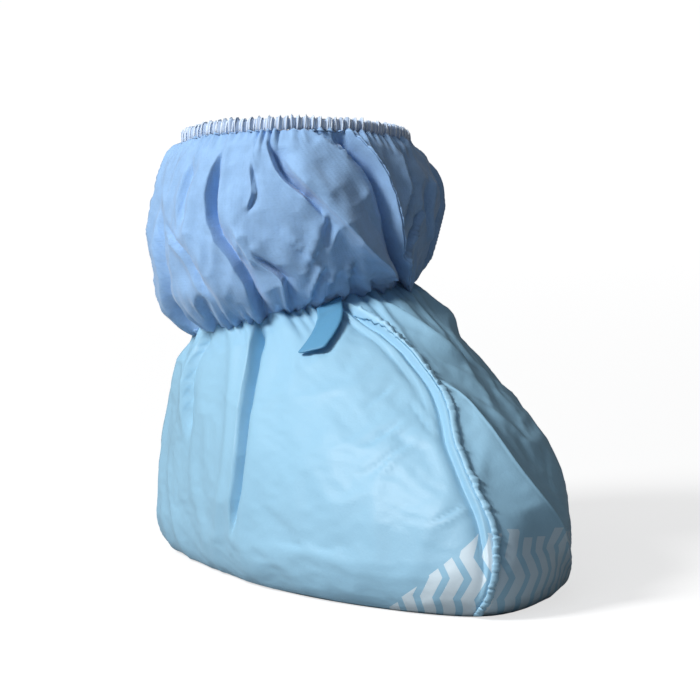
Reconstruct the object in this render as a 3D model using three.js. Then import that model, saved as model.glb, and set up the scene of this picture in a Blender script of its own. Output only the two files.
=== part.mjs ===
// A two-part protective overshoe for the right foot, in the form it takes when worn.
// A film-coated foot part with a folded sole is gathered at the ankle to a soft nonwoven cuff,
// which is gathered again at its elastic hem. Both halves are hollow and open from the hem down.
// Millimetres, +Z up. The toe points to -Y and +X is the big-toe side. The origin is on the
// underside of the sole, straight below the middle of the ankle.
import * as THREE from "three";

// Foot part
const toeReach = 207; // from the ankle's axis to the tip of the toe
const heelReach = 90; // from the ankle's axis to the back of the heel
const footHalfWidth = 67; // at the ball of the foot
const filmWall = 1.3; // coated fabric
const footPleatHeight = 2.4; // the pleats just under the ankle gather
const footPleats = 18;

// Ankle gather
const ankleHeight = 124; // at the leg's axis
const ankleRadius = 49.5; // to the outside of the fabric
const ankleRiseToToe = 9.6; // the gather sits higher in front
const ankleRiseToInstep = 8.2; // and higher on the big-toe side
const elasticHeight = 7;
const elasticThickness = 1.4;
const elasticRiseInCuff = 0.5; // share of the elastic that stands above the gather

// Cuff
const cuffRise = 81; // from the ankle gather to the hem, at the leg's axis
const cuffRadius = 70; // at its fullest
const cuffWall = 1.3;
const cuffPleatHeight = 2.4;
const cuffPleats = 16;

// Hem
const hemRadius = 54; // to the outside of the fabric
const hemRiseToToe = 12.4;
const hemRiseToInstep = -6.6;
const hemShift = -3; // the hem's middle stands over to the little-toe side
const hemHeight = 5.5;
const hemThickness = 2.8;
const hemRuffleDepth = 1.6;
const hemRuffles = 24;

// Seams and tab
const seamWidth = 5;
const seamThickness = 1.1;
const tabWidth = 12;
const tabLength = 48;
const tabThickness = 1;
const tabStandOff = 3; // the tab hangs clear of the pleats behind it

const seatGap = 0.5; // between a piece and what carries it
const rimGap = 0.3; // between the edges of the two fabrics at the ankle

// Facets
const footAround = 88;
const cuffAround = 96;
const elasticAround = 48;

const turn = 2 * Math.PI;
const radians = THREE.MathUtils.degToRad;

// The floor plan of the foot, every 30 degrees round the leg from the toe by way of the big-toe
// side. across is a share of the half width, along a share of the reach to the toe or the heel.
const footPlan = [
  { across: -0.1, along: 1.0 }, // the toe's seam
  { across: 0.6, along: 0.885 },
  { across: 1.08, along: 0.6 },
  { across: 0.97, along: 0.0 },
  { across: 0.81, along: -0.56 },
  { across: 0.46, along: -0.89 },
  { across: 0.0, along: -1.0 }, // the heel's seam
  { across: -0.46, along: -0.89 },
  { across: -0.81, along: -0.56 },
  { across: -0.96, along: 0.0 },
  { across: -1.02, along: 0.4 },
  { across: -0.7, along: 0.76 },
];

// The foot's level outlines below the gather. level is a share of the gather's height, toe and
// heel are shares of the reaches, outer and inner of the half width on the little-toe and the
// big-toe side. plan is the share of the floor plan in the outline, which is round without it.
const footSections = [
  { level: 0.94, toe: 0.35, heel: 0.61, outer: 0.79, inner: 0.84, plan: 0.0 },
  { level: 0.87, toe: 0.46, heel: 0.69, outer: 0.86, inner: 0.93, plan: 0.05 },
  { level: 0.78, toe: 0.57, heel: 0.76, outer: 0.91, inner: 1.0, plan: 0.2 },
  { level: 0.7, toe: 0.66, heel: 0.8, outer: 0.93, inner: 1.03, plan: 0.4 },
  { level: 0.62, toe: 0.75, heel: 0.84, outer: 0.95, inner: 1.05, plan: 0.65 },
  { level: 0.54, toe: 0.82, heel: 0.88, outer: 0.97, inner: 1.05, plan: 0.85 },
  { level: 0.44, toe: 0.89, heel: 0.93, outer: 0.98, inner: 1.05, plan: 1.0 },
  { level: 0.34, toe: 0.95, heel: 0.97, outer: 1.0, inner: 1.04, plan: 1.0 },
  { level: 0.24, toe: 0.985, heel: 0.99, outer: 1.0, inner: 1.02, plan: 1.0 },
  { level: 0.16, toe: 1.0, heel: 0.99, outer: 1.0, inner: 1.02, plan: 1.0 },
  { level: 0.08, toe: 0.99, heel: 0.97, outer: 0.96, inner: 1.02, plan: 1.0 },
  { level: 0.03, toe: 0.965, heel: 0.93, outer: 0.9, inner: 1.0, plan: 1.0 },
  { level: 0.0, toe: 0.93, heel: 0.87, outer: 0.83, inner: 0.95, plan: 1.0 },
];

// The cuff's outlines above the gather. up is a share of the way to the hem, outer and inner are
// shares of the fullest radius on the little-toe and the big-toe side.
const cuffSections = [
  { up: 0.07, outer: 0.86, inner: 0.8 },
  { up: 0.17, outer: 0.97, inner: 0.86 },
  { up: 0.28, outer: 1.0, inner: 0.9 },
  { up: 0.4, outer: 1.02, inner: 0.94 },
  { up: 0.52, outer: 1.01, inner: 0.97 },
  { up: 0.64, outer: 0.99, inner: 0.98 },
  { up: 0.75, outer: 0.96, inner: 0.97 },
  { up: 0.85, outer: 0.92, inner: 0.93 },
  { up: 0.93, outer: 0.86, inner: 0.87 },
];
const footRows = footSections.length;
const cuffRows = cuffSections.length + 1;

// Folds and ridges that run down the foot. top and bottom are shares of the way from the gather
// to the sole, topAt and bottomAt degrees round the leg from the toe, halfWidth in degrees.
// depth is in millimetres, below zero for a fold that sinks in.
const footFolds = [
  { top: 0.02, topAt: -56, bottom: 0.9, bottomAt: -72, halfWidth: 4.5, depth: -8 },
  { top: 0.03, topAt: -65, bottom: 0.84, bottomAt: -81, halfWidth: 6, depth: 3.5 },
  { top: 0.03, topAt: 15, bottom: 0.8, bottomAt: 24, halfWidth: 7, depth: 5 },
  { top: 0.1, topAt: 38, bottom: 0.7, bottomAt: 48, halfWidth: 8, depth: -3 },
  { top: 0.03, topAt: 80, bottom: 0.7, bottomAt: 84, halfWidth: 6, depth: -6 },
  { top: 0.03, topAt: 122, bottom: 0.6, bottomAt: 118, halfWidth: 7, depth: -5 },
  { top: 0.03, topAt: 156, bottom: 0.66, bottomAt: 158, halfWidth: 6, depth: -4 },
  { top: 0.03, topAt: 206, bottom: 0.62, bottomAt: 202, halfWidth: 7, depth: -5 },
  { top: 0.03, topAt: 246, bottom: 0.7, bottomAt: 242, halfWidth: 6, depth: -4 },
];

// Folds and ridges of the cuff. low and high are shares of the way from the gather to the hem.
const cuffFolds = [
  { low: 0.5, lowAt: -24, high: 0.98, highAt: -50, halfWidth: 6, depth: -9 },
  { low: 0.06, lowAt: 32, high: 0.88, highAt: -36, halfWidth: 5.5, depth: 5 },
  { low: 0.1, lowAt: 10, high: 0.72, highAt: -10, halfWidth: 9, depth: -4 },
  { low: 0.02, lowAt: -43, high: 0.88, highAt: -70, halfWidth: 5.5, depth: -10 },
  { low: 0.04, lowAt: -58, high: 0.84, highAt: -84, halfWidth: 6, depth: 4 },
  { low: 0.05, lowAt: 24, high: 0.9, highAt: -10, halfWidth: 5.5, depth: -8 },
  { low: 0.1, lowAt: 76, high: 0.9, highAt: 60, halfWidth: 7, depth: -7 },
  { low: 0.06, lowAt: 108, high: 0.9, highAt: 96, halfWidth: 7, depth: -6 },
  { low: 0.1, lowAt: 132, high: 0.94, highAt: 150, halfWidth: 6, depth: -8 },
  { low: 0.05, lowAt: 178, high: 0.86, highAt: 168, halfWidth: 8, depth: -6 },
  { low: 0.08, lowAt: 198, high: 0.92, highAt: 216, halfWidth: 6, depth: -8 },
  { low: 0.06, lowAt: 240, high: 0.88, highAt: 230, halfWidth: 7, depth: -6 },
  { low: 0.1, lowAt: 258, high: 0.92, highAt: 270, halfWidth: 6, depth: -6 },
];

// Where the cuff's seam runs, in degrees round the leg from the toe, from the gather upwards. The
// foot's seams run straight down at the toe and at the heel. The tab follows its own course, at
// these degrees and at these shares of the way down the foot.
const cuffSeamPath = [38, 27, 20, 15, 10, 3];
const tabCourse = [
  { degrees: -14, share: 0.03 }, // sewn in at the gather
  { degrees: -24, share: 0.09 },
  { degrees: -37, share: 0.16 },
  { degrees: -52, share: 0.25 },
];

const film = new THREE.MeshStandardMaterial({ color: 0xa9cfe4, roughness: 0.38, metalness: 0 });
const nonwoven = new THREE.MeshStandardMaterial({ color: 0x8fb2de, roughness: 0.85, metalness: 0 });
const overlock = new THREE.MeshStandardMaterial({ color: 0xc9d8ee, roughness: 0.8, metalness: 0 });
const elasticBand = new THREE.MeshStandardMaterial({ color: 0xe4e8ee, roughness: 0.7, metalness: 0 });
const tape = new THREE.MeshStandardMaterial({ color: 0x5c9bc0, roughness: 0.5, metalness: 0 });

/** The way out from the leg on the floor plan: 0 is to the toe and a quarter turn the big-toe side. */
function heading(angle) {
  return new THREE.Vector3(Math.sin(angle), -Math.cos(angle), 0);
}

/** The height of the ankle gather's tilted plane, at its own radius unless another is given. */
function gatherHeight(angle, radius = ankleRadius) {
  const rise = ankleRiseToToe * Math.cos(angle) + ankleRiseToInstep * Math.sin(angle);
  return ankleHeight + (rise * radius) / ankleRadius;
}

/** The height of the hem's tilted plane, at its own radius unless another is given. */
function hemHeightAt(angle, radius = hemRadius) {
  const rise = hemRiseToToe * Math.cos(angle) + hemRiseToInstep * Math.sin(angle);
  return ankleHeight + cuffRise + (rise * radius) / hemRadius;
}

/** A value on a smooth curve through evenly spaced values, at a share of the way along them. */
function along(values, share) {
  const last = values.length - 1;
  const place = share * last;
  const from = Math.min(Math.floor(place), last - 1);
  const t = place - from;
  const [a, b, c, d] = [-1, 0, 1, 2].map((k) => values[THREE.MathUtils.clamp(from + k, 0, last)]);
  return b + 0.5 * t * (c - a + t * (2 * a - 5 * b + 4 * c - d + t * (3 * (b - c) + d - a)));
}

/** One column of a table of outlines, with its value at the gather first. */
function column(table, name, scale, atGather) {
  return [atGather, ...table.map((section) => section[name] * scale)];
}

const footColumns = {
  level: column(footSections, "level", 1, 1),
  toe: column(footSections, "toe", toeReach, ankleRadius),
  heel: column(footSections, "heel", heelReach, ankleRadius),
  outer: column(footSections, "outer", footHalfWidth, ankleRadius),
  inner: column(footSections, "inner", footHalfWidth, ankleRadius),
  plan: column(footSections, "plan", 1, 0),
};

const cuffColumns = {
  up: [...column(cuffSections, "up", 1, 0), 1],
  outer: [...column(cuffSections, "outer", cuffRadius, ankleRadius), hemRadius],
  inner: [...column(cuffSections, "inner", cuffRadius, ankleRadius), hemRadius],
};

/** A value of the floor plan at an angle, on a smooth closed curve through its rows. */
function planAt(name, angle) {
  const rows = footPlan.length;
  const place = (THREE.MathUtils.euclideanModulo(angle, turn) / turn) * rows;
  const from = Math.floor(place);
  const four = [-1, 0, 1, 2].map((k) => footPlan[THREE.MathUtils.euclideanModulo(from + k, rows)][name]);
  return along(four, (1 + place - from) / 3);
}

/** A point of the foot's skin without its folds, down from the gather by a share of the way. */
function footPoint(angle, down) {
  const at = (name) => along(footColumns[name], down);
  const toToe = THREE.MathUtils.lerp(Math.cos(angle), planAt("along", angle), at("plan"));
  const toInstep = THREE.MathUtils.lerp(Math.sin(angle), planAt("across", angle), at("plan"));
  const side = THREE.MathUtils.lerp(at("outer"), at("inner"), THREE.MathUtils.smoothstep(toInstep, -1, 1));
  const reach = THREE.MathUtils.lerp(at("heel"), at("toe"), THREE.MathUtils.smoothstep(toToe, -0.3, 0.3));
  return new THREE.Vector3(side * toInstep, -reach * toToe, at("level") * gatherHeight(angle));
}

/** A point of the cuff's skin without its folds, up from the gather by a share of the way. */
function cuffPoint(angle, up) {
  const at = (name) => along(cuffColumns[name], up);
  const low = gatherHeight(angle) + rimGap;
  const high = hemHeightAt(angle) - hemHeight / 2 - rimGap;
  const side = (1 + Math.sin(angle)) / 2;
  const point = heading(angle).multiplyScalar(THREE.MathUtils.lerp(at("outer"), at("inner"), side));
  point.x += hemShift * at("up");
  point.z = THREE.MathUtils.lerp(low, high, at("up"));
  return point;
}

/** How far a fold moves the skin out, from the share of its length and the degrees off its line. */
function foldRelief(fold, share, degreesOff) {
  if (share <= 0 || share >= 1) return 0;
  const off = THREE.MathUtils.euclideanModulo(degreesOff + 180, 360) - 180;
  return fold.depth * Math.sin(Math.PI * share) ** 0.75 * Math.exp(-((off / fold.halfWidth) ** 2));
}

/** Pleats stand out from the skin and die away from the gather that makes them. */
function pleatRelief(count, height, angle, distance, reach) {
  return height * (0.5 + 0.5 * Math.cos(count * angle)) * Math.exp(-((distance / reach) ** 2));
}

function footRelief(angle, down) {
  const pleatReach = 0.16; // share of the way down the foot
  let relief = pleatRelief(footPleats, footPleatHeight, angle, down, pleatReach);
  for (const fold of footFolds) {
    const share = (down - fold.top) / (fold.bottom - fold.top);
    const line = THREE.MathUtils.lerp(fold.topAt, fold.bottomAt, share);
    relief += foldRelief(fold, share, THREE.MathUtils.radToDeg(angle) - line);
  }
  return relief;
}

function cuffRelief(angle, up) {
  const pleatReach = 0.22; // share of the way up the cuff
  let relief = pleatRelief(cuffPleats, cuffPleatHeight, angle, up, pleatReach);
  relief += pleatRelief(hemRuffles, hemRuffleDepth, angle, 1 - up, pleatReach);
  for (const fold of cuffFolds) {
    const share = (up - fold.low) / (fold.high - fold.low);
    const line = THREE.MathUtils.lerp(fold.lowAt, fold.highAt, share);
    relief += foldRelief(fold, share, THREE.MathUtils.radToDeg(angle) - line);
  }
  return relief;
}

/** The triangles of a flat cap that closes a ring of points from below. */
function capTriangles(ring) {
  const outline = ring.map((point) => new THREE.Vector2(point.x, point.y));
  return THREE.ShapeUtils.triangulateShape(outline, []).map(([a, b, c]) => [a, c, b]);
}

/** The way up from the plane that a ring of points lies in. */
function planeOf(ring) {
  const up = new THREE.Vector3();
  ring.forEach((point, i) => up.add(point.clone().cross(ring[(i + 1) % ring.length])));
  return up.normalize();
}

/** A grid of points round the leg with the way out at each, closed below by a cap if it has one. */
function skinGrid(around, rows, pointAt, capped) {
  const rings = [];
  for (let row = 0; row <= rows; row++) {
    const ring = [];
    for (let i = 0; i < around; i++) ring.push(pointAt((i / around) * turn, row / rows));
    rings.push(ring);
  }
  const positions = rings.flat().flatMap((point) => point.toArray());
  const index = [];
  for (let row = 0; row < rows; row++)
    for (let i = 0; i < around; i++) {
      const next = (i + 1) % around;
      const [a, b] = [row * around + i, row * around + next];
      index.push(a, a + around, b, b, a + around, b + around);
    }
  if (capped)
    for (const [a, b, c] of capTriangles(rings[rows])) {
      const first = rows * around;
      index.push(first + a, first + b, first + c);
    }
  const geometry = new THREE.BufferGeometry();
  geometry.setAttribute("position", new THREE.Float32BufferAttribute(positions, 3));
  geometry.setIndex(index);
  geometry.computeVertexNormals();
  const normals = geometry.getAttribute("normal");
  const facing = rings[rows][0].z < rings[0][0].z ? 1 : -1; // the rows run down or up
  const leanAt = (row, i) => {
    const lean = new THREE.Vector3().fromBufferAttribute(normals, row * around + i);
    lean.multiplyScalar(facing);
    if (row === 0 || row === rows) lean.projectOnPlane(planeOf(rings[row])); // an edge stays flat
    return lean.normalize();
  };
  return { rings, leans: rings.map((ring, row) => ring.map((_, i) => leanAt(row, i))) };
}

/** A closed wall round the leg from a skin, the relief of its folds and its thickness. */
function fabricWall(grid, around, rows, relief, thickness, capped) {
  const outer = [];
  const inner = [];
  grid.rings.forEach((ring, row) => {
    const raised = ring.map((point, i) => {
      const lift = capped && row === rows ? 0 : relief((i / around) * turn, row / rows);
      return point.clone().addScaledVector(grid.leans[row][i], lift);
    });
    const inside = raised.map((p, i) => p.clone().addScaledVector(grid.leans[row][i], -thickness));
    if (capped && row === rows) inside.forEach((point) => point.setZ(point.z + thickness));
    outer.push(raised);
    inner.push(inside);
  });
  const points = [...outer.flat(), ...inner.flat()];
  const innerStart = outer.length * around;
  const index = [];
  const quad = (a, b, c, d) => index.push(a, b, c, c, b, d);
  for (let row = 0; row < rows; row++)
    for (let i = 0; i < around; i++) {
      const [here, next] = [row * around + i, row * around + ((i + 1) % around)];
      quad(here, here + around, next, next + around);
      quad(innerStart + next, innerStart + next + around, innerStart + here, innerStart + here + around);
    }
  const closeEdge = (row, up) => {
    for (let i = 0; i < around; i++) {
      const [here, next] = [row * around + i, row * around + ((i + 1) % around)];
      if (up) quad(innerStart + here, here, innerStart + next, next);
      else quad(here, innerStart + here, next, innerStart + next);
    }
  };
  closeEdge(0, true);
  if (capped) {
    const first = rows * around;
    for (const [a, b, c] of capTriangles(outer[rows])) {
      index.push(first + a, first + b, first + c);
      index.push(innerStart + first + a, innerStart + first + c, innerStart + first + b);
    }
  } else closeEdge(rows, false);
  return { geometry: closedGeometry(points, index), outer, leans: grid.leans };
}

/** A closed mesh from points and triangles, turned to face out if it doesn't. */
function closedGeometry(points, index) {
  let volume = 0;
  for (let k = 0; k < index.length; k += 3) {
    const [a, b, c] = [points[index[k]], points[index[k + 1]], points[index[k + 2]]];
    volume += a.dot(b.clone().cross(c));
  }
  const positions = points.flatMap((point) => point.toArray());
  const geometry = new THREE.BufferGeometry();
  geometry.setAttribute("position", new THREE.Float32BufferAttribute(positions, 3));
  geometry.setIndex(volume > 0 ? index : index.toReversed());
  geometry.computeVertexNormals();
  return geometry;
}

/** A point on a faceted wall's outer face, raised from it by a lift. */
function pointOn(wall, angle, share, lift) {
  const [rows, around] = [wall.outer.length - 1, wall.outer[0].length];
  const place = (THREE.MathUtils.euclideanModulo(angle, turn) / turn) * around;
  const row = THREE.MathUtils.clamp(share, 0, 1) * rows;
  const [i, j] = [Math.floor(place) % around, Math.min(Math.floor(row), rows - 1)];
  const [u, v] = [place - Math.floor(place), row - j];
  const blend = (field) => {
    const [near, next] = [field[j][i], field[j][(i + 1) % around]];
    const [below, last] = [field[j + 1][i], field[j + 1][(i + 1) % around]];
    const [corner, s, t] = u + v < 1 ? [near, u, v] : [last, 1 - u, 1 - v];
    const point = corner.clone().multiplyScalar(1 - s - t);
    return point.addScaledVector(u + v < 1 ? next : below, s).addScaledVector(u + v < 1 ? below : next, t);
  };
  return blend(wall.outer).addScaledVector(blend(wall.leans).normalize(), lift);
}

/** The triangles of a closed length with a number of rows, corners in a row, and its first end. */
function tubeTriangles(rows, corners, end) {
  const index = [];
  for (let row = 0; row + 1 < rows; row++)
    for (let side = 0; side < corners; side++) {
      const [a, b] = [row * corners + side, row * corners + ((side + 1) % corners)];
      index.push(a, b, a + corners, b, b + corners, a + corners);
    }
  const last = (rows - 1) * corners;
  for (const [a, b, c] of end) {
    index.push(a, b, c);
    index.push(last + a, last + c, last + b);
  }
  return index;
}

/** A strip of even width that lies on a wall along a list of angles and shares. */
function strip(wall, line, width, thickness) {
  const points = [];
  for (const { angle, share } of line) {
    const middle = pointOn(wall, angle, share, 0);
    const nudge = 0.01; // radians, to measure how far apart two angles are here
    const spread = pointOn(wall, angle + nudge, share, 0).distanceTo(middle) / nudge;
    const half = width / 2 / spread;
    for (const side of [-half, 0, half]) points.push(pointOn(wall, angle + side, share, seatGap));
    for (const side of [half, 0, -half])
      points.push(pointOn(wall, angle + side, share, seatGap + thickness));
  }
  return closedGeometry(points, tubeTriangles(line.length, 6, [[0, 5, 1], [1, 5, 4], [1, 4, 2], [2, 4, 3]]));
}

/** A closed band round the leg from the corners of its section at each angle. */
function band(around, corners, shift = 0) {
  const points = [];
  const sides = corners(0).length;
  for (let i = 0; i < around; i++) {
    const angle = (i / around) * turn;
    for (const [radius, height] of corners(angle)) {
      const point = heading(angle).multiplyScalar(radius);
      points.push(point.setX(point.x + shift).setZ(height));
    }
  }
  const index = [];
  for (let i = 0; i < around; i++)
    for (let side = 0; side < sides; side++) {
      const next = (i + 1) % around;
      const [a, b] = [i * sides + side, i * sides + ((side + 1) % sides)];
      const [c, d] = [next * sides + side, next * sides + ((side + 1) % sides)];
      index.push(a, b, c, b, d, c);
    }
  return closedGeometry(points, index);
}

function ankleElastic() {
  const outside = ankleRadius - filmWall - seatGap;
  const inside = outside - elasticThickness;
  const top = elasticHeight * elasticRiseInCuff;
  const bottom = top - elasticHeight;
  const section = [[outside, bottom], [outside, top], [inside, top], [inside, bottom]];
  return band(elasticAround, (angle) => {
    return section.map(([radius, lift]) => [radius, gatherHeight(angle, radius) + lift]);
  });
}

function elasticHem() {
  const half = hemHeight / 2;
  return band(cuffAround, (angle) => {
    const ruffle = hemRuffleDepth * (0.5 + 0.5 * Math.cos(hemRuffles * angle));
    const outside = hemRadius + ruffle;
    const inside = outside - hemThickness;
    const middle = (outside + inside) / 2;
    const section = [[outside, -half], [outside, 0], [middle, half], [inside, 0], [inside, -half]];
    return section.map(([radius, lift]) => [radius, hemHeightAt(angle, radius) + lift]);
  }, hemShift);
}

/** A line for a strip over a wall from one of its rows to another, at the angles of a path. */
function lineOn(wall, from, to, path, stepsInRow) {
  const rows = wall.outer.length - 1;
  const steps = (to - from) * stepsInRow;
  const line = [];
  for (let k = 0; k <= steps; k++)
    line.push({ angle: radians(along(path, k / steps)), share: (from + k / stepsInRow) / rows });
  return line;
}

/** The tab with its rounded end, flat across, which hangs from the gather over the foot. */
function hangingTab() {
  const skin = tabCourse.map(({ degrees, share }) => pointOn(foot, radians(degrees), share, tabStandOff));
  const course = new THREE.CatmullRomCurve3(skin);
  const half = tabWidth / 2;
  const straight = tabLength - half; // as far as the rounded end
  const rows = [0, 0.25, 0.5, 0.75, 1].map((share) => [share * straight, half]);
  for (const degrees of [25, 50, 70])
    rows.push([straight + half * Math.sin(radians(degrees)), half * Math.cos(radians(degrees))]);
  const turns = tabCourse.map(({ degrees }) => degrees);
  const drops = tabCourse.map(({ share }) => share);
  const points = [];
  for (const [length, reach] of rows) {
    const share = length / course.getLength();
    const middle = course.getPointAt(share);
    const tangent = course.getTangentAt(share);
    const spot = [radians(along(turns, share)), along(drops, share)];
    const lean = pointOn(foot, ...spot, 1).sub(pointOn(foot, ...spot, 0));
    const across = tangent.clone().cross(lean).normalize();
    const out = across.clone().cross(tangent).normalize();
    for (const [side, lift] of [[-reach, 0], [reach, 0], [reach, tabThickness], [-reach, tabThickness]])
      points.push(middle.clone().addScaledVector(across, side).addScaledVector(out, lift));
  }
  return closedGeometry(points, tubeTriangles(rows.length, 4, [[0, 2, 1], [0, 3, 2]]));
}

const footGrid = skinGrid(footAround, footRows, footPoint, true);
const foot = fabricWall(footGrid, footAround, footRows, footRelief, filmWall, true);
const cuffGrid = skinGrid(cuffAround, cuffRows, cuffPoint, false);
const cuff = fabricWall(cuffGrid, cuffAround, cuffRows, cuffRelief, cuffWall, false);

const frontSeamLine = lineOn(foot, 1, footRows - 1, [0, 0], 1);
const heelSeamLine = lineOn(foot, 1, footRows - 1, [180, 180], 1);
const cuffSeamLine = lineOn(cuff, 1, cuffRows - 1, cuffSeamPath, 3);

const pieces = [
  ["foot_cover", foot.geometry, film],
  ["front_seam", strip(foot, frontSeamLine, seamWidth, seamThickness), film],
  ["heel_seam", strip(foot, heelSeamLine, seamWidth, seamThickness), film],
  ["side_tab", hangingTab(), tape],
  ["ankle_elastic", ankleElastic(), elasticBand],
  ["ankle_cuff", cuff.geometry, nonwoven],
  ["cuff_seam", strip(cuff, cuffSeamLine, seamWidth, seamThickness), nonwoven],
  ["elastic_hem", elasticHem(), overlock],
];

const overshoe = new THREE.Group();
for (const [name, geometry, material] of pieces) {
  const mesh = new THREE.Mesh(geometry, material);
  mesh.name = name;
  overshoe.add(mesh);
}

export default overshoe;
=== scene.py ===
import math

import bmesh
import bpy
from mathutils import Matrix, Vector, noise


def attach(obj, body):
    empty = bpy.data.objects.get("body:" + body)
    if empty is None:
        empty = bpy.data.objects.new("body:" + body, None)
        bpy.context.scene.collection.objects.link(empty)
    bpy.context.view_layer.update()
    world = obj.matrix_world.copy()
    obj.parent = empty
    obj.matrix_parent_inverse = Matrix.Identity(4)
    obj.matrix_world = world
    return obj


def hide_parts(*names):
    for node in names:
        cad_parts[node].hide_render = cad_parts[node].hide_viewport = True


bl_info = {
    "name": "Gathered overshoe",
    "version": (1, 0, 0),
    "blender": (4, 5, 0),
    "location": "View3D > Sidebar > Overshoe",
    "description": "Builds a film-coated overshoe with a gathered nonwoven cuff",
    "category": "Object",
}

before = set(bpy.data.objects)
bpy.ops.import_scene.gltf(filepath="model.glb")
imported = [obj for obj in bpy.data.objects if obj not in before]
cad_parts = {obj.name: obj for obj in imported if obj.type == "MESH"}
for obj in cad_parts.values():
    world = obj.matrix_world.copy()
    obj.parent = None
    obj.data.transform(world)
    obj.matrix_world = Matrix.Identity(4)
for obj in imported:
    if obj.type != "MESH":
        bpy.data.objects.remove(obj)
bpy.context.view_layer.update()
MM = 0.001
TURN = 2 * math.pi


def table(names, *rows):
    """Rows with named columns."""
    return [dict(zip(names.split(), values)) for values in rows]


# The floor plan of the foot, every 30 degrees round the leg from the toe by way of the big-toe
# side. across is a share of the half width, along a share of the reach to the toe or the heel.
FOOT_PLAN = table(
    "across along",
    (-0.1, 1.0),
    (0.6, 0.885),
    (1.08, 0.6),
    (0.97, 0.0),
    (0.81, -0.56),
    (0.46, -0.89),
    (0.0, -1.0),
    (-0.46, -0.89),
    (-0.81, -0.56),
    (-0.96, 0.0),
    (-1.02, 0.4),
    (-0.7, 0.76),
)

# The foot's level outlines from the gather down to the sole. level is a share of the gather's
# height, toe and heel are shares of the reaches, outer and inner of the half width on the
# little-toe and the big-toe side, and plan is the share of the floor plan in the outline.
FOOT_SECTIONS = table(
    "level toe heel outer inner plan",
    (0.94, 0.35, 0.61, 0.79, 0.84, 0.0),
    (0.87, 0.46, 0.69, 0.86, 0.93, 0.05),
    (0.78, 0.57, 0.76, 0.91, 1.0, 0.2),
    (0.7, 0.66, 0.8, 0.93, 1.03, 0.4),
    (0.62, 0.75, 0.84, 0.95, 1.05, 0.65),
    (0.54, 0.82, 0.88, 0.97, 1.05, 0.85),
    (0.44, 0.89, 0.93, 0.98, 1.05, 1.0),
    (0.34, 0.95, 0.97, 1.0, 1.04, 1.0),
    (0.24, 0.985, 0.99, 1.0, 1.02, 1.0),
    (0.16, 1.0, 0.99, 1.0, 1.02, 1.0),
    (0.08, 0.99, 0.97, 0.96, 1.02, 1.0),
    (0.03, 0.965, 0.93, 0.9, 1.0, 1.0),
    (0.0, 0.93, 0.87, 0.83, 0.95, 1.0),
)

# The cuff's outlines from the gather up to the hem. up is a share of the way, outer and inner
# are shares of the fullest radius on the little-toe and the big-toe side.
CUFF_SECTIONS = table(
    "up outer inner",
    (0.07, 0.86, 0.8),
    (0.17, 0.97, 0.86),
    (0.28, 1.0, 0.9),
    (0.4, 1.02, 0.94),
    (0.52, 1.01, 0.97),
    (0.64, 0.99, 0.98),
    (0.75, 0.96, 0.97),
    (0.85, 0.92, 0.93),
    (0.93, 0.86, 0.87),
)

# The folds. course holds (share of the way from the gather, degrees round the leg from the toe)
# from the gather on. before and after are (height, width) in millimetres on the side of the
# smaller and of the larger degrees, and edge is half the width of the turn between the two. guide,
# on the main folds, is the column of the mesh that runs along the fold, in degrees.
FOOT_FOLDS = table(
    "course before after edge guide",
    ([(0, -53), (0.12, -61), (0.23, -64.5), (0.36, -66), (0.48, -65.5), (0.56, -66.5), (0.65, -68.5),
     (0.76, -70)], (1, 5), (-10.5, 4.4), 1, -64),
    ([(0, -65), (0.14, -68.5), (0.32, -69.5), (0.51, -70), (0.68, -73.5), (0.85, -77)],
     (2, 6), (1.4, 4), 2),
    ([(0, -9), (0.08, -3.5), (0.142, 1), (0.208, 3.5), (0.267, 3.5), (0.342, 1.5), (0.417, -1.5),
     (0.517, -1.5), (0.592, -1), (0.7, -2), (0.783, -3), (0.9, -5)], (-3, 3), (1.8, 6), 1.2, 0),
    ([(0, -13), (0.05, -11.5), (0.1, -8), (0.175, -3), (0.242, -1), (0.325, -2), (0.4, -4)],
     (-1.7, 2.5), (2, 3.5), 1.4),
    ([(0.017, 5), (0.083, 17), (0.167, 24), (0.208, 30.5), (0.26, 40)], (4.9, 7), (1.4, 8), 2),
    ([(0.2, 8), (0.317, 10.5), (0.425, 12.5), (0.508, 15), (0.592, 19.5), (0.72, 30), (0.84, 44)],
     (6.3, 12), (7, 8), 0.8, 20),
    ([(0.24, -8), (0.27, -14), (0.31, -25)], (-1.3, 3), (1, 3), 1.4),
    ([(0.34, -9), (0.37, -16.5), (0.43, -26)], (-1.7, 4), (1.3, 3), 1.4),
    ([(0.39, -9), (0.43, -16), (0.52, -26)], (-1.4, 4), (1.1, 3), 1.4),
    ([(0.57, -1.5), (0.6, -9), (0.63, -15)], (-1.7, 3), (1.7, 3), 1.4),
    ([(0.29, -6.5), (0.36, -5), (0.41, -4)], (-1.7, 2), (1.1, 2), 0.7),
    ([(0.02, 44), (0.1, 50), (0.2, 58)], (5, 9), (5, 9), 2),
    ([(0.1, 84), (0.35, 92), (0.62, 88)], (2, 5), (-6, 9), 2),
    ([(0, 122), (0.3, 117), (0.6, 118)], (-4, 8), (2, 6), 2),
    ([(0, 156), (0.3, 153), (0.7, 158)], (2, 6), (-5, 8), 2),
    ([(0, 206), (0.25, 201), (0.62, 202)], (-6, 8), (2.5, 6), 1.5),
    ([(0, 246), (0.35, 240), (0.7, 242)], (-4, 9), (2, 6), 2),
    ([(0, 268), (0.2, 265), (0.5, 268)], (2, 6), (-5, 7), 1.5),
)

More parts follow.
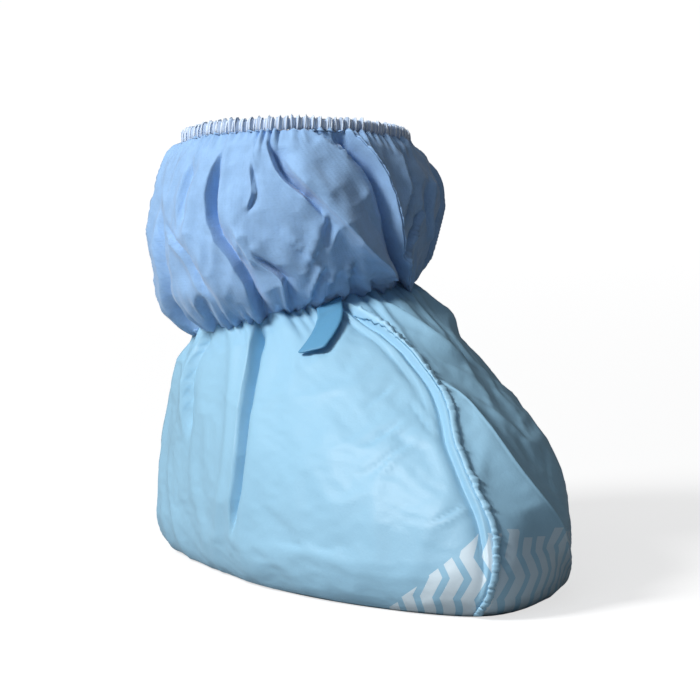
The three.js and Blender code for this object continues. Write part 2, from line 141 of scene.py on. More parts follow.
CUFF_FOLDS = table(
    "course before after edge guide",
    ([(0, -47), (0.07, -48.5), (0.22, -49), (0.34, -54), (0.44, -60.5), (0.54, -65.5), (0.65, -66.5),
     (0.775, -65.5), (0.93, -62)], (1.5, 6), (-8, 4.5), 1, -72),
    ([(0.25, -41), (0.4, -50), (0.55, -55), (0.75, -55)], (3, 5), (3, 8), 2),
    ([(0.1, -57), (0.3, -63), (0.5, -74), (0.8, -74)], (4, 9), (3, 6), 2),
    ([(0.5, -17), (0.608, -24.5), (0.675, -31), (0.75, -36), (0.867, -39.5), (0.95, -41)],
     (2, 4), (-8, 6), 1, -32),
    ([(0.02, 30), (0.1, 23), (0.275, 5), (0.408, -6), (0.508, -13), (0.617, -21), (0.725, -29),
     (0.875, -36.5)], (5.5, 3), (8, 12), 0.9, -12),
    ([(0.1, 26), (0.242, 13.5), (0.408, 6), (0.583, -2), (0.767, -7.5)], (-2, 6), (-3, 5), 2),
    ([(0, 44), (0.108, 28), (0.25, 20), (0.425, 14.5), (0.583, 11.5), (0.742, 8), (0.883, 2.5), (0.967, -3),
     (1, -5)], (-11, 6), (3, 5), 1, 12),
    ([(0.8, 1), (0.933, -13), (1, -22.5)], (2, 3), (-4, 3), 1),
    ([(0.54, -48.5), (0.65, -45), (0.8, -47.5)], (1.5, 3), (-3, 3), 1),
    ([(0.3, -46), (0.4, -50), (0.5, -54)], (-2, 3), (2, 3), 1.5),
    ([(0.2, -17), (0.25, -20), (0.342, -25), (0.425, -31.5), (0.53, -35)], (-2, 4), (1.5, 4), 1.8),
    ([(0.02, -33), (0.083, -33.5), (0.233, -34), (0.333, -43.5), (0.4, -47)], (1.5, 3), (-6, 4), 1, -52),
    ([(0.25, -25), (0.3, -23.5), (0.375, -20), (0.492, -16.5), (0.55, -15)], (2, 4), (-2, 4), 1.8),
    ([(0.03, -24), (0.16, -22), (0.28, -17)], (2, 3), (-4, 3), 1),
    ([(0, -14), (0.09, -16), (0.24, -12)], (1.5, 3), (-5, 4), 1),
    ([(0, -1), (0.14, -5), (0.3, -5)], (1.5, 3), (-5, 4), 1),
    ([(0, 10), (0.1, 7), (0.2, 4)], (1.5, 3), (-4, 3), 1),
    ([(0.15, -66), (0.225, -69.5), (0.408, -79), (0.567, -97.5)], (2, 4), (-4, 4), 1.2),
    ([(0, -82), (0.1, -77), (0.22, -74)], (1.5, 4), (-5, 4), 1.2),
    ([(0.5, -80), (0.65, -83), (0.85, -82)], (1.5, 4), (-4, 5), 1.5),
    ([(0.4, 15.5), (0.467, 17), (0.625, 25.5), (0.85, 27), (0.95, 25)], (2, 4), (-6, 5), 1.2),
    ([(0.2, 21), (0.283, 22.5), (0.483, 31.5), (0.55, 36)], (-4, 4), (2.5, 4), 1),
    ([(0.3, 44), (0.5, 40), (0.75, 44)], (-3, 5), (3, 6), 1.5),
    ([(0.05, 62), (0.3, 60), (0.6, 66), (0.9, 62)], (-6, 8), (3, 6), 1.5),
    ([(0, 84), (0.4, 92), (0.95, 88)], (3, 6), (-7, 8), 1.5),
    ([(0.05, 112), (0.4, 118), (0.7, 112)], (-5, 6), (2, 6), 1.5),
    ([(0.1, 140), (0.5, 132), (0.96, 144)], (2.5, 6), (-8, 8), 1.5),
    ([(0, 168), (0.4, 176), (0.8, 170)], (-6, 8), (3, 7), 1.5),
    ([(0.2, 196), (0.6, 204), (1, 198)], (-7, 7), (3, 7), 1.5),
    ([(0, 222), (0.35, 214), (0.7, 220)], (2.5, 7), (-7, 8), 1.5),
    ([(0.3, 240), (0.7, 246), (1, 240)], (-6, 7), (3, 6), 1.5),
    ([(0, 254), (0.3, 262), (0.66, 256)], (2, 6), (-6, 7), 1.5),
)

# The seams' courses, as (share of the way from the gather, degrees round the leg from the toe).
FRONT_SEAM = [
    (0.015, -8), (0.083, -1.5), (0.142, 3.5), (0.208, 6), (0.267, 6), (0.342, 4.3), (0.417, 1), (0.517, 1),
    (0.592, 1.5), (0.633, 2.5), (0.7, 1), (0.783, -0.5), (0.892, -2.5), (0.985, -3),
]
HEEL_SEAM = [(0.015, 180), (0.3, 180.6), (0.6, 179.6), (0.985, 180)]
CUFF_SEAM = [
    (0.02, 43), (0.108, 30), (0.25, 22), (0.425, 16.5), (0.583, 13.5), (0.742, 10), (0.883, 4.5),
    (0.967, -1),
]

# The tab's course over the foot: shares of the way from the gather and degrees round the leg.
TAB_COURSE = [(0.03, -14), (0.09, -24), (0.16, -37), (0.25, -52)]

# The lamps: directions in degrees, from the toe and above the floor, and distance and size in metres.
LAMPS = table(
    "name azimuth elevation distance size watts tone",
    ("key_softbox", -84, 38, 1.7, 0.45, 30, "FFFFFF"),
    ("front_fill", -36, 36, 2.4, 1.6, 4, "C8DCFF"),
    ("overhead_softbox", -90, 75, 2.5, 2.0, 9, "FFFFFF"),
)


def length(name, default, description):
    """A size in metres that the panel can change."""
    return bpy.props.FloatProperty(
        name=name, default=default, description=description, subtype="DISTANCE", unit="LENGTH", precision=4
    )


def linear(text):
    """An sRGB hex colour as linear red, green, blue and alpha."""
    parts = [int(text[k : k + 2], 16) / 255 for k in (0, 2, 4)]
    return [c / 12.92 if c <= 0.04045 else ((c + 0.055) / 1.055) ** 2.4 for c in parts] + [1.0]


def colour(name, default, description):
    """A colour that the panel can change, from its sRGB hex."""
    return bpy.props.FloatVectorProperty(
        name=name, default=linear(default), description=description, subtype="COLOR", size=4, min=0, max=1
    )


class OvershoeSizes(bpy.types.PropertyGroup):
    toe_reach: length("Toe reach", 0.207, "From the ankle's axis to the tip of the toe")
    heel_reach: length("Heel reach", 0.09, "From the ankle's axis to the back of the heel")
    half_width: length("Half width", 0.067, "Half the foot's width at the ball")
    ankle_height: length("Ankle height", 0.124, "Height of the ankle gather at the leg's axis")
    ankle_radius: length("Ankle radius", 0.0495, "Radius of the ankle gather")
    ankle_rise_toe: length("Ankle rise to the toe", 0.0096, "How much higher the gather sits in front")
    ankle_rise_instep: length("Ankle rise to the instep", 0.0082, "How much higher it sits on the inside")
    cuff_rise: length("Cuff rise", 0.081, "From the ankle gather to the hem")
    cuff_radius: length("Cuff radius", 0.07, "Radius of the cuff at its fullest")
    cuff_cut: length("Cuff cut", 0.077, "Radius of the cuff's tube before it is gathered")
    cuff_cut_height: length("Cuff cut height", 0.106, "Height of the cuff's tube before it is gathered")
    hem_radius: length("Hem radius", 0.054, "Radius of the elastic hem")
    hem_rise_toe: length("Hem rise to the toe", 0.0124, "How much higher the hem sits in front")
    hem_rise_instep: length("Hem rise to the instep", -0.0066, "How much higher the hem sits on the inside")
    hem_shift: length("Hem shift", -0.003, "How far the hem stands over to the outside")
    hem_height: length("Hem height", 0.0062, "Height of the elastic hem")
    hem_thickness: length("Hem thickness", 0.0026, "Thickness of the elastic hem")
    film: length("Film thickness", 0.0006, "Thickness of the coated fabric")
    cloth: length("Cloth thickness", 0.0007, "Thickness of the cuff's nonwoven")
    seam_width: length("Seam width", 0.0036, "Width of the raised seams")
    seam_height: length("Seam height", 0.002, "Height of the raised seams")
    tab_width: length("Tab width", 0.0125, "Width of the hanging tab")
    tab_length: length("Tab length", 0.036, "Length of the hanging tab")
    tab_stand_off: length("Tab stand-off", 0.003, "How far the tab hangs clear of the foot part")


class OvershoeColours(bpy.types.PropertyGroup):
    film: colour("Film", "A0CDE6", "Coated fabric of the foot part")
    nonwoven: colour("Nonwoven", "92B8E1", "Soft fabric of the cuff")
    hem: colour("Hem", "BACEEA", "Fabric rolled into the elastic hem")
    thread: colour("Thread", "DDE8F4", "Overlock thread")
    print: colour("Print", "E8F5FC", "Anti-skid print")
    tab: colour("Tab", "5F9EC4", "Hanging tab")
    elastic: colour("Elastic", "E6EAF0", "Elastic inside the gathers")
    floor: colour("Floor", "A8A8A8", "Studio floor")


def lerp(a, b, t):
    return a + (b - a) * t


def smooth(x, low, high):
    """0 below low, 1 above high and an even turn between."""
    t = min(max((x - low) / (high - low), 0), 1)
    return t * t * (3 - 2 * t)


def along(values, share):
    """A value on a smooth curve through evenly spaced values, at a share of the way along them."""
    last = len(values) - 1
    place = min(max(share, 0), 1) * last
    start = min(int(place), last - 1)
    t = place - start
    a, b, c, d = (values[min(max(start + k, 0), last)] for k in (-1, 0, 1, 2))
    return b + 0.5 * t * (c - a + t * (2 * a - 5 * b + 4 * c - d + t * (3 * (b - c) + d - a)))


def plan_at(name, angle):
    """A value of the floor plan at an angle, on a smooth closed curve through its rows."""
    rows = len(FOOT_PLAN)
    place = (angle % TURN) / TURN * rows
    start = int(place)
    four = [FOOT_PLAN[(start + k) % rows][name] for k in (-1, 0, 1, 2)]
    return along(four, (1 + place - start) / 3)


def course_at(course, share):
    """The degrees of a course at a share, with its corners rounded off."""

    def straight(at):
        at = min(max(at, course[0][0]), course[-1][0])
        for (low, first), (high, second) in zip(course, course[1:]):
            if at <= high:
                break
        return lerp(first, second, (at - low) / (high - low))

    return (straight(share - 0.025) + 2 * straight(share) + straight(share + 0.025)) / 4


def bend(x, xs, ys):
    """The value at x on straight lines through the points of xs and ys."""
    for k in range(1, len(xs)):
        if x <= xs[k]:
            break
    return lerp(ys[k - 1], ys[k], (x - xs[k - 1]) / (xs[k] - xs[k - 1]))


class Form:
    """The overshoe's skins as functions of an angle round the leg and a share of the way."""

    def __init__(self, sizes):
        self.s = sizes
        ring = sizes.ankle_radius
        scales = dict(level=1, toe=sizes.toe_reach, heel=sizes.heel_reach, outer=sizes.half_width,
                      inner=sizes.half_width, plan=1)
        starts = dict(level=1, toe=ring, heel=ring, outer=ring, inner=ring, plan=0)
        self.foot = {
            name: [starts[name]] + [section[name] * scale for section in FOOT_SECTIONS]
            for name, scale in scales.items()
        }
        sides = {
            side: [ring, *(section[side] * sizes.cuff_radius for section in CUFF_SECTIONS), sizes.hem_radius]
            for side in ("outer", "inner")
        }
        self.cuff = dict(up=[0] + [section["up"] for section in CUFF_SECTIONS] + [1], **sides)

    def gather(self, angle):
        s = self.s
        return s.ankle_height + s.ankle_rise_toe * math.cos(angle) + s.ankle_rise_instep * math.sin(angle)

    def hem(self, angle):
        s = self.s
        rise = s.hem_rise_toe * math.cos(angle) + s.hem_rise_instep * math.sin(angle)
        return s.ankle_height + s.cuff_rise + rise

    def foot_at(self, angle, down):
        def at(name):
            return along(self.foot[name], down)

        plan = at("plan")
        to_toe = lerp(math.cos(angle), plan_at("along", angle), plan)
        to_instep = lerp(math.sin(angle), plan_at("across", angle), plan)
        side = lerp(at("outer"), at("inner"), smooth(to_instep, -1, 1))
        reach = lerp(at("heel"), at("toe"), smooth(to_toe, -0.3, 0.3))
        return Vector((side * to_instep, -reach * to_toe, at("level") * self.gather(angle)))

    def cuff_at(self, angle, share):
        up = along(self.cuff["up"], share)
        high = self.hem(angle) - self.s.hem_height / 2
        outer, inner = (along(self.cuff[side], share) for side in ("outer", "inner"))
        radius = lerp(outer, inner, (1 + math.sin(angle)) / 2)
        x, y = radius * math.sin(angle) + self.s.hem_shift * up, -radius * math.cos(angle)
        return Vector((x, y, lerp(self.gather(angle), high, up)))

    def on(self, at, angle, share):
        """The place on one of the skins, the way out of it, and its length per radian round the leg."""
        step = 0.004
        low, high = max(share - step, 0), min(share + step, 1)
        around = at(angle + step, share) - at(angle - step, share)
        normal = around.cross(at(angle, high) - at(angle, low)).normalized()
        if normal.dot(Vector((math.sin(angle), -math.cos(angle), 0))) < 0:
            normal.negate()
        return at(angle, share), normal, around.length / (2 * step)


def fold_relief(folds, angle, share, stretch):
    """How far the folds of a table move the skin out, in metres. stretch is the length per radian."""
    relief = 0
    degrees = math.degrees(angle)
    for fold in folds:
        course = fold["course"]
        start, end = course[0][0], course[-1][0]
        if not start <= share <= end:
            continue
        off = (degrees - course_at(course, share) + 180) % 360 - 180
        if abs(off) > 40:
            continue
        off = math.radians(off) * stretch / MM
        sides = [
            height * math.exp(-(abs(off / width) ** 1.5))
            for height, width in (fold["before"], fold["after"])
        ]
        t = (share - start) / (end - start)
        fade = 1 if start == 0 else smooth(t, 0, 0.25)
        fade *= 1 if end == 1 else 1 - smooth(t, 0.7, 1)
        relief += fade * lerp(*sides, smooth(off, -fold["edge"], fold["edge"]))
    return relief * MM


def chance(number, seed):
    """A random share from 0 to 1 that belongs to a number."""
    return noise.cell(Vector((number * 1.37 + 0.5, seed * 5.71 + 0.5, 0.5))) % 1


def wander(angle, seed, turns=3):
    """A slow random wave from -1 to 1 round the leg."""
    return noise.noise(Vector((turns * math.cos(angle), turns * math.sin(angle), seed * 3.17)))


def pleats(angle, distance, count, height, reach, seed):
    """Rounded pleats of uneven size and length, with sharp valleys, at a distance from their gather."""
    place = angle / TURN * count + 1.3 * wander(angle, seed)
    number = math.floor(place)
    size = 0.45 + 1.1 * chance(number % count, seed)
    reach *= 0.4 + 1.2 * chance(number % count, seed + 1)
    if distance > 2.5 * reach:
        return 0
    return height * size * math.sin(math.pi * (place - number)) * math.exp(-((distance / reach) ** 2))


def crumple(place, size, height, seed):
    """Small sharp creases between flat facets, as stiff nonwoven takes."""
    at = Vector((place.x, place.y, place.z * 0.5)) / size + Vector((seed, 0, 0))
    at += Vector((0.7, 0.7, 0)) * noise.noise(at * 0.6)
    return height * (1 - 2 * abs(noise.noise(at)) ** 0.7)


def even_shares(at, count, angles):
    """Shares down a skin that space its rows evenly over the surface, from the mean of some angles."""
    fine = 240
    spans = [0.0]
    for k in range(fine):
        step = sum((at(a, (k + 1) / fine) - at(a, k / fine)).length for a in angles)
        spans.append(spans[-1] + step)
    shares = []
    k = 0
    for n in range(count + 1):
        goal = spans[-1] * n / count
        while k < fine - 1 and spans[k + 1] < goal:
            k += 1
        shares.append((k + (goal - spans[k]) / (spans[k + 1] - spans[k])) / fine)
    return shares


def grid(columns, rows, place, closed=True):
    """A mesh of columns by rows whose corners stand where place puts them, welded where it closes."""
    mesh = bmesh.new()
    mesh.loops.layers.uv.new("UVMap")
    bmesh.ops.create_grid(mesh, x_segments=columns, y_segments=rows, size=0.5, calc_uvs=True)
    layer = mesh.verts.layers.float_vector.new("skin")
    for vert in mesh.verts:
        u, v = vert.co.x + 0.5, vert.co.y + 0.5
        vert[layer] = (u, v, 0)
        vert.co = place(u, v)
    if closed:
        bmesh.ops.remove_doubles(mesh, verts=mesh.verts, dist=1e-6)
    bmesh.ops.recalc_face_normals(mesh, faces=mesh.faces)
    return mesh


def measure_uv(mesh, width, height):
    """Turns the UV map's shares into lengths over the fabric, in decimetres."""
    uv = mesh.loops.layers.uv.active
    for face in mesh.faces:
        for loop in face.loops:
            loop[uv].uv = (loop[uv].uv.x * width * 10, loop[uv].uv.y * height * 10)


def finish_mesh(name, mesh, *materials):
    """The bmesh as a smooth-shaded object of the scene with these materials."""
    data = bpy.data.meshes.new(name)
    mesh.to_mesh(data)
    mesh.free()
    data.shade_smooth()
    for material in materials:
        data.materials.append(material)
    obj = bpy.data.objects.new(name, data)
    bpy.context.scene.collection.objects.link(obj)
    return obj


def thicken(obj, thickness, offset=-1):
    solid = obj.modifiers.new("thickness", "SOLIDIFY")
    solid.thickness = thickness
    solid.offset = offset
    solid.use_quality_normals = True


def tube(name, points, radius, sides, material, flatten=1.0):
    """A round or flattened thread along a closed ring of points, each with the way out at it."""
    count = len(points)
    ways = [(points[(k + 1) % count][0] - points[k - 1][0]).normalized() for k in range(count)]

    def place(u, v):
        k = round(u * count) % count
        point, out = points[k]
        side = ways[k].cross(out).normalized()
        turn = v * TURN
        return point + side * (radius * math.cos(turn)) + out * (radius * flatten * math.sin(turn))

    return finish_mesh(name, grid(count, sides, place), material)


def settle(columns, rows, place, cut, hold, frames, weave, bending, pressure, weight):
    """Lets a tube of cloth relax from place, cut to the lengths of cut, and gives how far each corner moves.

    hold is how firmly each row keeps its place, and weight the share of gravity that pulls.
    """
    scene = bpy.context.scene
    obj = finish_mesh("settling_cloth", grid(columns, rows, place))
    layer = obj.data.attributes["skin"].data
    keys = [(round(item.vector.x * columns) % columns, round(item.vector.y * rows)) for item in layer]
    obj.shape_key_add(name="Basis")
    key = obj.shape_key_add(name="cut")
    for point, (column, line) in zip(key.data, keys):
        point.co = cut(column / columns, line / rows)
    group = obj.vertex_groups.new(name="held")
    for index, (column, line) in enumerate(keys):
        group.add([index], hold(column / columns, line), "REPLACE")
    cloth = obj.modifiers.new("settle", "CLOTH")
    values = cloth.settings
    values.quality = 5
    values.mass = 0.004
    values.air_damping = 1.5
    values.tension_stiffness = weave
    values.compression_stiffness = weave * 0.6
    values.shear_stiffness = weave * 0.3
    values.bending_stiffness = bending
    values.tension_damping = values.compression_damping = values.shear_damping = 5
    values.bending_damping = 0.5
    values.vertex_group_mass = "held"
    values.pin_stiffness = 1
    values.rest_shape_key = key
    values.use_pressure = True
    values.uniform_pressure_force = pressure
    values.effector_weights.gravity = weight
    cloth.collision_settings.use_collision = False
    cloth.point_cache.frame_end = frames
    for number in range(1, frames + 1):
        scene.frame_set(number)
    graph = bpy.context.evaluated_depsgraph_get()
    settled = bpy.data.meshes.new_from_object(obj.evaluated_get(graph), depsgraph=graph)
    moves = {}
    for spot, now in zip(keys, settled.vertices):
        moves[spot] = now.co - place(spot[0] / columns, spot[1] / rows)
    bpy.data.meshes.remove(settled)
    bpy.data.objects.remove(obj)
    scene.frame_set(1)
    return moves


def spread(moves, columns, rows, u, v):
    """The moves of a settled cloth at any place on it, on smooth curves through its corners."""
    across, down = u * columns, v * rows
    column, line = math.floor(across), min(int(down), rows - 1)
    lines = []
    for k in (-1, 0, 1, 2):
        at = min(max(line + k, 0), rows)
        four = [moves[((column + n) % columns, at)] for n in (-1, 0, 1, 2)]
        lines.append(along(four, (1 + across - column) / 3))
    return along(lines, (1 + down - line) / 3)


def add_node(tree, kind, inputs=(), output=0, **settings):
    """Adds a shader node with its settings and the values or links of its inputs, and gives an output."""
    node = tree.nodes.new("ShaderNode" + kind)
    for name, value in settings.items():
        setattr(node, name, value)
    for socket, value in inputs.items() if isinstance(inputs, dict) else enumerate(inputs):
        if isinstance(value, bpy.types.NodeSocket):
            tree.links.new(value, node.inputs[socket])
        else:
            node.inputs[socket].default_value = value
    return node.outputs[output] if node.outputs else None


def cells(width):
    """The scale at which a texture's cells are this many millimetres wide."""
    return 1 / (width * MM)


def tinted(tone, factor):
    """A colour made lighter or darker."""
    return [min(c * factor, 1.0) for c in tone[:3]] + [1.0]


def new_material(name):
    material = bpy.data.materials.new(name)
    material.use_nodes = True
    material.node_tree.nodes.clear()
    return material, material.node_tree


def thin_sheet(tree, shader, tone, share):
    """Lets some light through a shader, as a thin sheet does, and connects it to the output."""
    glow = add_node(tree, "BsdfTranslucent", {"Color": tone})
    add_node(tree, "OutputMaterial", {"Surface": add_node(tree, "MixShader", [share, shader, glow])})


def print_with_painted_shade(tree, everywhere):
    """1 on the zigzag stripes of the anti-skid print, from the UV map, which is in decimetres. On the upper
    it is 0.6 on the big-toe side of the seam: painted shade.

    The lengths are millimetres over the fabric, around from the toe's seam and up from the sole.
    """
    pitch, bar, tooth = 10.5, 6.6, 10.0
    height_at_toe, reach = 44.0, 118.0
    uv = add_node(tree, "UVMap")
    around, up = (
        add_node(tree, "Math", [add_node(tree, "SeparateXYZ", [uv], axis), 100.0], operation="MULTIPLY")
        for axis in (0, 1)
    )
    zigzag = add_node(tree, "Math", [up, tooth], operation="PINGPONG")
    moved = add_node(tree, "Math", [zigzag, 0.5, around], operation="MULTIPLY_ADD")
    wrapped = add_node(tree, "Math", [moved, pitch, 0.0], operation="WRAP")
    stripes = add_node(tree, "Math", [wrapped, bar], operation="LESS_THAN")
    if everywhere:
        return stripes
    # The print's upper edge falls away steeply on the little-toe side and slowly on the other, and
    # each stripe ends a little higher or lower.
    outer = add_node(tree, "Math", [around, 0.0], operation="MINIMUM")
    inner = add_node(tree, "Math", [around, 0.0], operation="MAXIMUM")
    stripe = add_node(tree, "Math", [moved, pitch], operation="DIVIDE")
    number = add_node(tree, "Math", [stripe], operation="FLOOR")
    ragged = add_node(tree, "TexWhiteNoise", {"W": number}, noise_dimensions="1D")
    limit = add_node(tree, "Math", [outer, 0.73, height_at_toe], operation="MULTIPLY_ADD")
    limit = add_node(tree, "Math", [ragged, -5.0, limit], operation="MULTIPLY_ADD")
    limit = add_node(tree, "Math", [inner, -0.12, limit], operation="MULTIPLY_ADD")
    low = add_node(tree, "Math", [up, limit], operation="LESS_THAN")
    away = add_node(tree, "Math", [around], operation="ABSOLUTE")
    near = add_node(tree, "Math", [away, reach], operation="LESS_THAN")
    # The print is painted fainter on the big-toe side of the seam, which faces away from the key light:
    # painted shade.
    side = add_node(tree, "Math", [around, 0.0], operation="LESS_THAN")
    print_and_shade = add_node(tree, "Math", [side, 0.4, 0.6], operation="MULTIPLY_ADD")
    for part in (low, near, stripes):
        print_and_shade = add_node(tree, "Math", [print_and_shade, part], operation="MULTIPLY")
    return print_and_shade


def film_material(colours, name, everywhere):
    """Polyethylene film laminated to a thin nonwoven, with the anti-skid print where it has it."""
    # The film gives soft, broad highlights that its crinkles break up; the raised print is duller.
    material, tree = new_material(name)
    place = add_node(tree, "TexCoord", output="Object")
    print_and_shade = print_with_painted_shade(tree, everywhere)
    cloud = add_node(tree, "TexNoise", {"Vector": place, "Scale": cells(45.5), "Detail": 3.0})
    cloudy = add_node(tree, "Math", [cloud, 0.3], operation="MULTIPLY")
    tone = add_node(tree, "Mix", {0: cloudy, 6: colours.film, 7: linear("8DC2E0")}, 2, data_type="RGBA")
    # The print's share is weaker on the big-toe side of the upper: painted shade.
    inked_and_shaded = add_node(tree, "Math", [print_and_shade, 0.8], operation="MULTIPLY")
    tone = add_node(tree, "Mix", {0: inked_and_shaded, 6: tone, 7: colours.print}, 2, data_type="RGBA")
    crinkle = add_node(tree, "TexNoise",
                       {"Vector": place, "Scale": cells(14.3), "Detail": 4.0, "Roughness": 0.55})
    grain = add_node(tree, "TexVoronoi", {"Vector": place, "Scale": cells(1.11)})
    height = add_node(tree, "Math", [grain, 0.05, crinkle], operation="MULTIPLY_ADD")
    bump = add_node(tree, "Bump", {"Strength": 0.4, "Distance": 1.2 * MM, "Height": height})
    raised = add_node(tree, "Bump",
                      {"Strength": 0.5, "Distance": 0.3 * MM, "Height": print_and_shade, "Normal": bump})
    rough = add_node(tree, "Math", [print_and_shade, 0.12, 0.46], operation="MULTIPLY_ADD")
    shader = add_node(tree, "BsdfPrincipled", {
        "Base Color": tone, "Roughness": rough, "Specular IOR Level": 0.3, "Normal": raised,
    })
    thin_sheet(tree, shader, tone, 0.08)
    return material


def nonwoven_material(name, tone):
    """Spunbond polypropylene with its grid of bonded points and a fuzz of loose fibres."""
    # It is matte with a faint bloom at its edges. The fibres are drawn far coarser than the real
    # ones, which are too fine to show; the bonded points have their real spacing of 4/3 mm.
    material, tree = new_material(name)
    place = add_node(tree, "TexCoord", output="Object")
    points = add_node(tree, "TexVoronoi",
                      {"Vector": add_node(tree, "UVMap"), "Scale": cells(4 / 3) / 10, "Randomness": 0.2},
                      feature="F1", voronoi_dimensions="2D")
    dots = add_node(tree, "MapRange", {"Value": points, "From Min": 0.18, "From Max": 0.34})
    fibres, cloud = (
        add_node(tree, "TexNoise",
                 {"Vector": place, "Scale": cells(width), "Detail": detail, "Roughness": 0.65})
        for width, detail in ((2.38, 5.0), (7.7, 4.0))
    )
    dark, pale = tinted(tone, 0.8), tinted(tone, 1.25)
    shade = add_node(tree, "Mix", {0: cloud, 6: dark, 7: pale}, 2, data_type="RGBA")
    bonded = add_node(tree, "Math", [dots, 0.1, 0.9], operation="MULTIPLY_ADD")
    shade = add_node(tree, "Mix", {0: bonded, 6: dark, 7: shade}, 2, data_type="RGBA")
    height = add_node(tree, "Math", [dots, 0.4, fibres], operation="MULTIPLY_ADD")
    bump = add_node(tree, "Bump", {"Strength": 0.35, "Distance": 0.35 * MM, "Height": height})
    shader = add_node(tree, "BsdfPrincipled", {
        "Base Color": shade, "Roughness": 0.82, "Specular IOR Level": 0.25, "Sheen Weight": 0.3,
        "Sheen Roughness": 0.5, "Normal": bump,
    })
    thin_sheet(tree, shader, shade, 0.08)
    return material


def plain_material(name, tone, roughness, share, grain):
    """One colour of thread, tape, elastic or folded film, with a grain as wide as its fibres or puckers.

    share is how much light it lets through, and grain is in millimetres.
    """
    material, tree = new_material(name)
    place = add_node(tree, "TexCoord", output="Object")
    fibres = add_node(tree, "TexNoise", {"Vector": place, "Scale": cells(grain), "Detail": 3.0})
    bump = add_node(tree, "Bump", {"Strength": 0.4, "Distance": 0.3 * MM, "Height": fibres})
    shader = add_node(tree, "BsdfPrincipled", {"Base Color": tone, "Roughness": roughness, "Normal": bump})
    thin_sheet(tree, shader, tone, share)
    return material


def floor_material(tone):
    """Matte white acrylic, lit from below so that it shows whiter than the light that it gives back."""
    # Only the camera sees its glow, which fades towards the overshoe so that the contact shadow shows.
    material, tree = new_material("lit_acrylic_floor")
    place = add_node(tree, "TexCoord", output="Object")
    wide = add_node(tree, "VectorMath", {0: place, 3: 0.6}, operation="SCALE")
    middle = add_node(tree, "TexGradient", [wide], 1, gradient_type="SPHERICAL")
    seen = add_node(tree, "LightPath", output="Is Camera Ray")
    glow = add_node(tree, "Math", [middle, -0.28, 0.95], operation="MULTIPLY_ADD")
    strength = add_node(tree, "Math", [seen, glow], operation="MULTIPLY")
    matte = add_node(tree, "BsdfDiffuse", {"Color": tone})
    light = add_node(tree, "Emission", {"Strength": strength})
    add_node(tree, "OutputMaterial", {"Surface": add_node(tree, "AddShader", [matte, light])})
    return material


def chosen(context):
    """The sizes and the colours that the panel shows."""
    return context.scene.overshoe_sizes, context.scene.overshoe_colours


def keep(obj, node):
    """Lets the piece ride on the part in place of its CAD node."""
    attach(obj, "root")
    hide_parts(node)


class Skin:
    """A tube of fabric with its folds, its gathers and what the cloth simulation adds.

    The columns of its mesh run along the main folds. The fine ones crowd there: those within crowd
    degrees of a guide stand within crowded degrees of its fold.
    """

    folds, rough_columns, rough_rows = [], 1, 1
    crowd, crowded = 4, 0.9

    def __init__(self, sizes):
        self.form = Form(sizes)
        self.guides = sorted((fold["guide"], fold["course"]) for fold in self.folds if "guide" in fold)
        self.moves = None
        self.lines = {}

    def line(self, share, fine):
        """Columns, in degrees, and the degrees round the leg at which they stand at a share."""
        if (share, fine) not in self.lines:
            columns, degrees = [-180], [-180]
            for column, course in self.guides:
                for side in (-1, 1) if fine else (0,):
                    columns.append(column + self.crowd * side)
                    degrees.append(course_at(course, share) + self.crowded * side)
            self.lines[(share, fine)] = [*columns, 180], [*degrees, 180]
        return self.lines[(share, fine)]

    def angle(self, u, share, fine=True):
        return math.radians(bend((u * 360 + 180) % 360 - 180, *self.line(share, fine)))

    def column(self, angle, share):
        columns, degrees = self.line(share, False)
        return bend((math.degrees(angle) + 180) % 360 - 180, degrees, columns) / 360

    def at(self, angle, share):
        place = self.shaped(angle, share)
        if self.moves:
            u = self.column(angle, share)
            place += spread(self.moves, self.rough_columns, self.rough_rows, u, share)
        return place

    def rough(self, u, v):
        return self.shaped(self.angle(u, v, False), v)


class FootSkin(Skin):
    folds, rough_columns, rough_rows = FOOT_FOLDS, 150, 56

    def shaped(self, angle, share):
        place, out, stretch = self.form.on(self.form.foot_at, angle, share)
        lift = fold_relief(FOOT_FOLDS, angle, share, stretch) * lerp(0.3, 1, smooth(share, 0, 0.07))
        lift += crumple(place, size=0.027, height=0.0009, seed=9)
        lift *= 1 - smooth(share, 0.93, 1)
        lift += pleats(angle, share, count=46, height=0.0028, reach=0.08, seed=3)
        return place + out * lift

    def settle(self):
        """The cloth simulation: the film is cut a little slack, and slacker at the gather."""

        def cut(u, v):
            place = self.rough(u, v)
            full = 1.012 + 0.05 * math.exp(-((v / 0.15) ** 2))
            return Vector((place.x * full, place.y * full, place.z * 1.012))

        def hold(u, line):
            if line in (0, self.rough_rows):
                return 1.0
            seam = min(u, 1 - u, abs(u - 0.5)) < 0.012
            return 0.4 if seam or line in (1, self.rough_rows - 1) else 0.06

        self.moves = settle(self.rough_columns, self.rough_rows, self.rough, cut, hold,
                            frames=20, weave=12, bending=0.05, pressure=0.02, weight=0.3)


